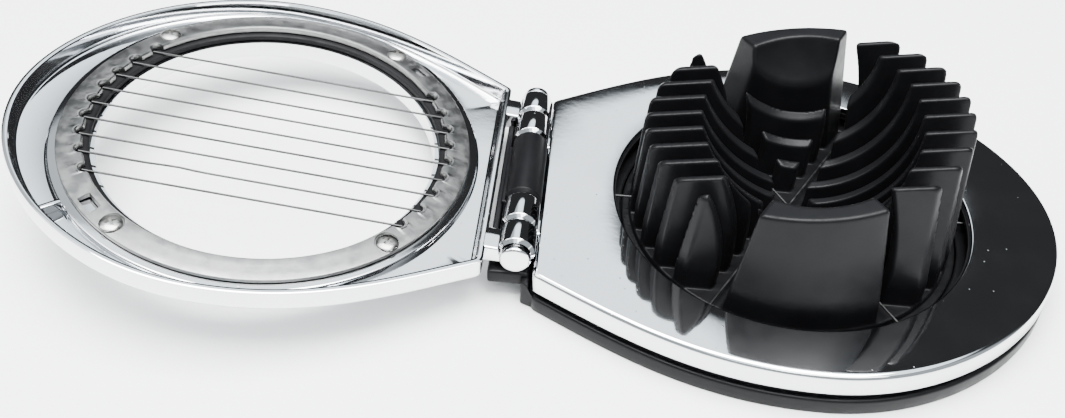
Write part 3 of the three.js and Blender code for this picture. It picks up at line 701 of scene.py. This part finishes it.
def ring_screw(prefix, index, degrees, rim_z, place):
    """A domed cross-head screw, head down as the frame lies closed."""
    a = math.radians(degrees)
    centre = (SCREW_CIRCLE * math.cos(a), SCREW_CIRCLE * math.sin(a), rim_z + 1.2)
    dome_steps = np.radians((25, 45, 62, 75))
    profile = [(0, -0.9)] + [(2.4 * math.sin(t), -0.9 + 0.75 * (1 - math.cos(t))) for t in dome_steps]
    profile += [(2.38, -0.2), (2.4, 0), (1, 0), (1, 3.0), (0, 3.0)]
    bm = bmesh.new()
    lathe(bm, profile, 48, "Z", centre)
    node = f"{prefix}_ring_screw_{index}"
    head = make(f"{prefix}_screw_{index}", bm, SCREW, prefix, node, place, 35)
    cut(head, cross_recess(centre, 20 + index * 31), place)


# ---- Cradle ----


def smooth_max(a, b, k):
    h = np.clip(k - np.abs(a - b), 0, None) / k
    return np.maximum(a, b) + h * h * k * 0.25


def smooth_min(a, b, k):
    return -smooth_max(-a, -b, k)


def bowl_field(x, y, z):
    """Rough distance to the egg-shaped bowl, which runs on straight above its widest level."""
    across = (x - BOWL_X) * math.cos(BOWL_TILT) + (z - BOWL_Z) * math.sin(BOWL_TILT)
    up = (z - BOWL_Z) * math.cos(BOWL_TILT) - (x - BOWL_X) * math.sin(BOWL_TILT)
    up = np.minimum(up, 0)
    k0 = np.sqrt((across / BOWL[0]) ** 2 + (y / BOWL[1]) ** 2 + (up / BOWL[2]) ** 2)
    k1 = np.sqrt((across / BOWL[0] ** 2) ** 2 + (y / BOWL[1] ** 2) ** 2 + (up / BOWL[2] ** 2) ** 2)
    return k0 * (k0 - 1) / np.maximum(k1, 1e-6)


def cradle_field(x, y, z):
    """Rough signed distance to the cradle: negative inside."""
    r = np.hypot(x, y)
    s, c = math.sin(SLANT), math.cos(SLANT)
    rise = (z - FLOOR_Z) / (TOP_Z - FLOOR_Z)
    draft = (FOOT_RADIUS - TOP_RADIUS) / (TOP_Z - STRAIGHT_Z)
    side = r - (FOOT_RADIUS - draft * np.clip(z - STRAIGHT_Z, 0, None))
    top = (z - TOP_Z) * math.cos(TOP_TILT) - x * math.sin(TOP_TILT)
    bowl = bowl_field(x, y, z)
    above_floor = FLOOR_Z - z

    # Slots for the slicing wires, wider towards the top.
    half_foot = (PITCH - FIN_AT_FOOT) / 2
    half_top = (PITCH - FIN_AT_TOP) / 2
    half = half_foot + (half_top - half_foot) * (z - FLOOR_Z) / (TOP_Z - FLOOR_Z)
    row = np.clip(np.round(y / PITCH), -4, 4) * PITCH
    beyond = (WIRES + 1) / 2 * PITCH
    slot = np.minimum(np.abs(y - row) - half, beyond - half - np.abs(y))

    # Slots for the slanting wedging wires, which move on circles about the hinge.
    swept_x = np.hypot(x - HINGE[0], z - HINGE[2]) + HINGE[0]
    slanted = np.minimum(np.abs(swept_x * s - y * c), np.abs(swept_x * s + y * c)) - SLANT_HALF
    between = np.maximum(SLANT_REACH - np.abs(y), np.abs(swept_x) * s - np.abs(y) * c)
    cleared = np.minimum(slanted, between)

    fins = smooth_max(smooth_max(side, top, 1.4), -bowl, 0.5)
    fins = smooth_max(fins, -np.maximum(slot, above_floor), 0.4)
    fins = smooth_max(fins, -np.maximum(cleared, above_floor), 0.6)

    # The two lugs, solid wedges at the back and the front that narrow towards the top.
    free_side = x * s - np.abs(y) * c + 2.2 + 2.8 * rise
    hinge_side = -x * s - np.abs(y) * c + 1.7 + 3.5 * rise
    shell = smooth_max(smooth_max(side, top, 0.9), -bowl, 0.7)
    lug = smooth_max(shell, smooth_max(free_side, hinge_side, 0.6), 0.8)
    lug = smooth_max(lug, LUG_INNER_Y - np.abs(y), 0.8)

    floor = np.maximum(side, z - FLOOR_Z)
    flange = np.maximum(r - FLANGE_RADIUS, z - FLANGE_Z)
    whole = smooth_min(smooth_min(fins, lug, 0.3), floor, 0.7)
    return np.maximum(np.minimum(whole, flange), FOOT_Z - z)


def surface_net(field, low, high, step):
    """Quads on the zero level of a field, with its points pulled onto that level."""
    axes = [np.arange(a, b + step, step) for a, b in zip(low, high)]
    y, z = np.meshgrid(*axes[1:], indexing="ij")
    values = np.stack([field(np.full(y.shape, x), y, z) for x in axes[0]])
    inside = values < 0
    nx, ny, nz = values.shape
    crossed = np.zeros((nx - 1, ny - 1, nz - 1), int)
    for dx in (0, 1):
        for dy in (0, 1):
            for dz in (0, 1):
                crossed += inside[dx : nx - 1 + dx, dy : ny - 1 + dy, dz : nz - 1 + dz]
    active = (crossed > 0) & (crossed < 8)
    index = np.full(active.shape, -1)
    index[active] = np.arange(active.sum())
    cells = np.argwhere(active)
    points = np.stack([axes[k][cells[:, k]] + step / 2 for k in range(3)], axis=1)
    for _ in range(NET_ROUNDS):
        value = field(*points.T)
        e = 0.02
        slope = np.stack(
            [(field(*(points + d).T) - field(*(points - d).T)) / (2 * e) for d in np.eye(3) * e],
            axis=1,
        )
        size = np.maximum(np.sum(slope**2, axis=1), 0.25)
        move = -slope * (value / size)[:, None] * 0.8
        points += np.clip(move, -step / 2, step / 2)
    quads = []
    for axis in range(3):
        a = np.moveaxis(inside, axis, 0)
        change = a[:-1, 1:-1, 1:-1] != a[1:, 1:-1, 1:-1]
        cells_at = np.moveaxis(index, axis, 0)
        i, j, k = np.nonzero(change)
        j, k = j + 1, k + 1
        corners = [(j - 1, k - 1), (j, k - 1), (j, k), (j - 1, k)]
        quad = np.stack([cells_at[i, u, v] for u, v in corners], axis=1)
        flip = a[:-1, 1:-1, 1:-1][change] == (axis == 1)
        quad[flip] = quad[flip][:, ::-1]
        quads.append(quad)
    return points, np.vstack(quads)


def thin_out(piece, faces):
    """Leaves at most so many triangles, the fewest where the surface is flat."""
    count = sum(len(polygon.vertices) - 2 for polygon in piece.data.polygons)
    if count <= faces:
        return
    change = piece.modifiers.new("thin", "DECIMATE")
    change.ratio = faces / count
    apply_modifiers(piece)
    smooth(piece.data)


def cradle():
    """The finned cradle, too intricate for lofts, taken as the zero level of its field."""
    low, high = (-37.6, -37.6, 1.9), (37.6, 37.6, 41.0)
    points, quads = surface_net(cradle_field, low, high, CRADLE_STEP)
    mesh = bpy.data.meshes.new("cradle")
    mesh.vertices.add(len(points))
    mesh.vertices.foreach_set("co", (points * MM).ravel())
    mesh.loops.add(quads.size)
    mesh.loops.foreach_set("vertex_index", quads.ravel())
    mesh.polygons.add(len(quads))
    mesh.polygons.foreach_set("loop_start", np.arange(0, quads.size, 4))
    smooth(mesh)
    mesh.update(calc_edges=True)
    mesh.validate()
    mesh.materials.append(BLACK)
    piece = bpy.data.objects.new("cradle", mesh)
    bpy.context.collection.objects.link(piece)
    thin_out(piece, CRADLE_FACES)
    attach(piece, "base")
    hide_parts("egg_cradle")


# ---- Base and hinge pin ----


def tray(bm):
    """The hollow teardrop tray with its stepped top and the disc under the cradle."""
    section = [("circle", 0, 0), ("circle", 39.5, 0), ("circle", 39.5, 3.4), ("inset", 2.4, 3.4)]
    section += [("inset", 2.4, 0.2), ("inset", 2.2, 0), ("inset", 0.4, 0), ("inset", 0.1, 0.15)]
    section += [("inset", 0, 0.5)]
    section += [("inset", 0.7 - a, h) for a, h in arc((0, 3.2), 0.7, 0, 90, 5)]
    section += [("inset", 1.3, 3.92), ("inset", 1.4, 4.1), ("inset", 1.4, 5.0), ("inset", 1.6, 5.2)]
    section += [("circle", 37.4, 5.2), ("circle", 37.1, 5.0), ("circle", 37.1, 2.4), ("circle", 0, 2.4)]
    grid_faces(bm, section_rows(outline(WEDGER_END_X), section), closed_rows=False)
    for k in range(BASE_RIBS):
        reach = 44.5 if k in (0, BASE_RIBS - 1) else 43.0
        turn = about_z((k + 0.5) * 360 / BASE_RIBS)
        box(bm, (38.5, -0.8, 1.0), (reach, 0.8, 4.2), 0.2, 1, turn)


def base():
    bm = bmesh.new()
    tray(bm)
    low_x, face_x = WEDGER_END_X - 2.4, WEDGER_END_X - 0.6
    slab_low = SLAB_TOP_Z - SLAB_THICKNESS
    taper = 0.577
    post = [(low_x, 0.0), (WEDGER_END_X + 1, 0.0), (WEDGER_END_X + 1, 3.9), (face_x, 3.9)]
    post += [(face_x, SLAB_TOP_Z - 1), (low_x, SLAB_TOP_Z - 1)]
    prism(bm, post, lambda x: HINGE_END_HALF_WIDTH - 0.1 - max(0, WEDGER_END_X - x) * taper, 0.45)
    slab = [(SLAB_END_X, slab_low), (face_x - 0.2, slab_low)]
    slab += [(face_x - 0.2, SLAB_TOP_Z), (SLAB_END_X, SLAB_TOP_Z)]
    prism(bm, slab, lambda x: SLAB_HALF_WIDTH, 0.6)
    lip = KNUCKLE_STEPS[1] - KNUCKLE_GAP
    lip_top = 10.9
    box(bm, (SLAB_END_X + 0.01, -lip, SLAB_TOP_Z - 2), (SLAB_END_X + 1.4, lip, lip_top))
    web = KNUCKLE_STEPS[0] - KNUCKLE_GAP / 2
    box(bm, (SLAB_END_X + 1, 0.7 - web, SLAB_TOP_Z - 1), (face_x - 0.1, web - 0.7, HINGE[2] - 0.6))
    knuckle(bm, -web, web)
    make("base_tray", bm, BLACK, "base", "base_body")


def pin_cap(side, name):
    start = KNUCKLE_STEPS[2] + KNUCKLE_GAP
    r = CAP_RADIUS
    dome_steps = np.radians((15, 30, 45, 60, 72, 82))
    profile = [(0, 0), (r - 0.3, 0), (r - 0.05, 0.2), (r, 0.5), (r, 1.0)]
    profile += [(r * math.cos(t) ** 0.6, 1.1 + 0.7 * math.sin(t)) for t in dome_steps]
    profile += [(0, 1.8)]
    bm = bmesh.new()
    lathe(bm, [(r, side * (start + y)) for r, y in profile], 64, "Y", (HINGE[0], 0, HINGE[2]))
    make(f"{name}_dome", bm, CHROME, "base", name, sharp=40)


# ---- Stage ----

FLOOR_HALF = 4
SKY_DARK = (0.035, 0.036, 0.038, 1)
SKY_LIGHT = (2.35, 2.6, 2.75, 1)
BAND_ELEVATIONS = (37.0, 40.0)
HIGH_ELEVATIONS = (50, 55)


def stage():
    bm = bmesh.new()
    bmesh.ops.create_grid(bm, x_segments=2, y_segments=2, size=FLOOR_HALF)
    mesh = bpy.data.meshes.new("floor")
    bm.to_mesh(mesh)
    bm.free()
    mesh.materials.append(floor_material())
    floor = bpy.data.objects.new("floor", mesh)
    floor.location.z = CAD_BOX[0][2]
    bpy.context.collection.objects.link(floor)


def area_light(name, place, target, size, power):
    light = bpy.data.lights.new(name, "AREA")
    light.shape = "RECTANGLE"
    light.size, light.size_y = size
    light.energy = power
    lamp = bpy.data.objects.new(name, light)
    lamp.location = place
    lamp.rotation_euler = (Vector(target) - Vector(place)).to_track_quat("-Z", "Y").to_euler()
    bpy.context.collection.objects.link(lamp)


def sky():
    """Bright overhead, with a dark horizon behind and to the right for the chrome to show."""
    world = bpy.data.worlds.new("studio")
    world.use_nodes = True
    tree = world.node_tree
    background = tree.nodes["Background"]
    background.inputs["Strength"].default_value = 1.0
    where = tree.nodes.new("ShaderNodeTexCoord")
    apart = tree.nodes.new("ShaderNodeSeparateXYZ")
    tree.links.new(where.outputs["Generated"], apart.inputs["Vector"])

    def ramp(axis, low, high, at_low, at_high):
        return ramp_node(tree, apart.outputs[axis], low, high, at_low, at_high)

    def maths(operation, a, b):
        node = tree.nodes.new("ShaderNodeMath")
        node.operation = operation
        tree.links.new(a, node.inputs[0])
        tree.links.new(b, node.inputs[1])
        return node.outputs["Value"]

    up = ramp("Z", *(math.sin(math.radians(e)) for e in BAND_ELEVATIONS), 0.0, 1.0)
    high = ramp("Z", *(math.sin(math.radians(e)) for e in HIGH_ELEVATIONS), 0.0, 1.0)
    right = ramp("X", 0.12, 0.19, 1.0, 0.0)
    left = ramp("X", -0.34, -0.14, 0.3, 1.0)
    near = ramp("Y", -0.2, 0.15, 0.22, 0.0)
    band = maths("MULTIPLY", maths("MULTIPLY", up, right), left)
    lit = maths("MAXIMUM", maths("MAXIMUM", band, high), near)
    mix = tree.nodes.new("ShaderNodeMix")
    mix.data_type = "RGBA"
    tree.links.new(lit, mix.inputs["Factor"])
    mix.inputs["A"].default_value = SKY_DARK
    mix.inputs["B"].default_value = SKY_LIGHT
    tree.links.new(mix.outputs["Result"], background.inputs["Color"])
    bpy.context.scene.world = world


# ---- Making ----

slicer_arm = (SLICER_RIM_Z, HINGE[2] + BARREL - 0.1)
wedger_arm = (HINGE[2] - BARREL + 0.1, WEDGER_RIM_Z + FRAME_HEIGHT)
frame_piece(
    "slicer", SLICER_END_X, SLICER_WINDOW, SLICER_RIM_Z, COLLAR_HEIGHT, SLICER_KNUCKLE, slicer_arm, OPENED
)
frame_piece("wedger", WEDGER_END_X, WEDGER_WINDOW, WEDGER_RIM_Z, 0.0, WEDGER_KNUCKLE, wedger_arm, None)
for prefix, rim_z, place in (("slicer", SLICER_RIM_Z, OPENED), ("wedger", WEDGER_RIM_Z, None)):
    clamp_ring(prefix, rim_z, place)
    wire_carrier(prefix, rim_z, place)
    for index, (degrees, offset, height) in enumerate(wire_list(prefix), 1):
        wire(prefix, index, degrees, offset, rim_z + height, place)
    for index, degrees in enumerate(SCREW_ANGLES, 1):
        ring_screw(prefix, index, degrees, rim_z, place)
cradle()
base()
pin_cap(1, "pin_cap_back")
pin_cap(-1, "pin_cap_front")
for name in ("hinge_pin", *(f"cradle_screw_{k}" for k in range(1, 5))):
    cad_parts[name].data.materials[0] = SCREW
stage()
sky()
area_light("top", (-0.05, -0.05, 1.1), (-0.05, 0, 0), (1.0, 0.8), 62)
area_light("left", (-0.8, -0.2, 0.75), (-0.05, 0, 0.02), (0.5, 0.6), 6)
area_light("front", (0.3, -0.7, 1.0), (0, 0, 0.02), (0.7, 0.4), 7)
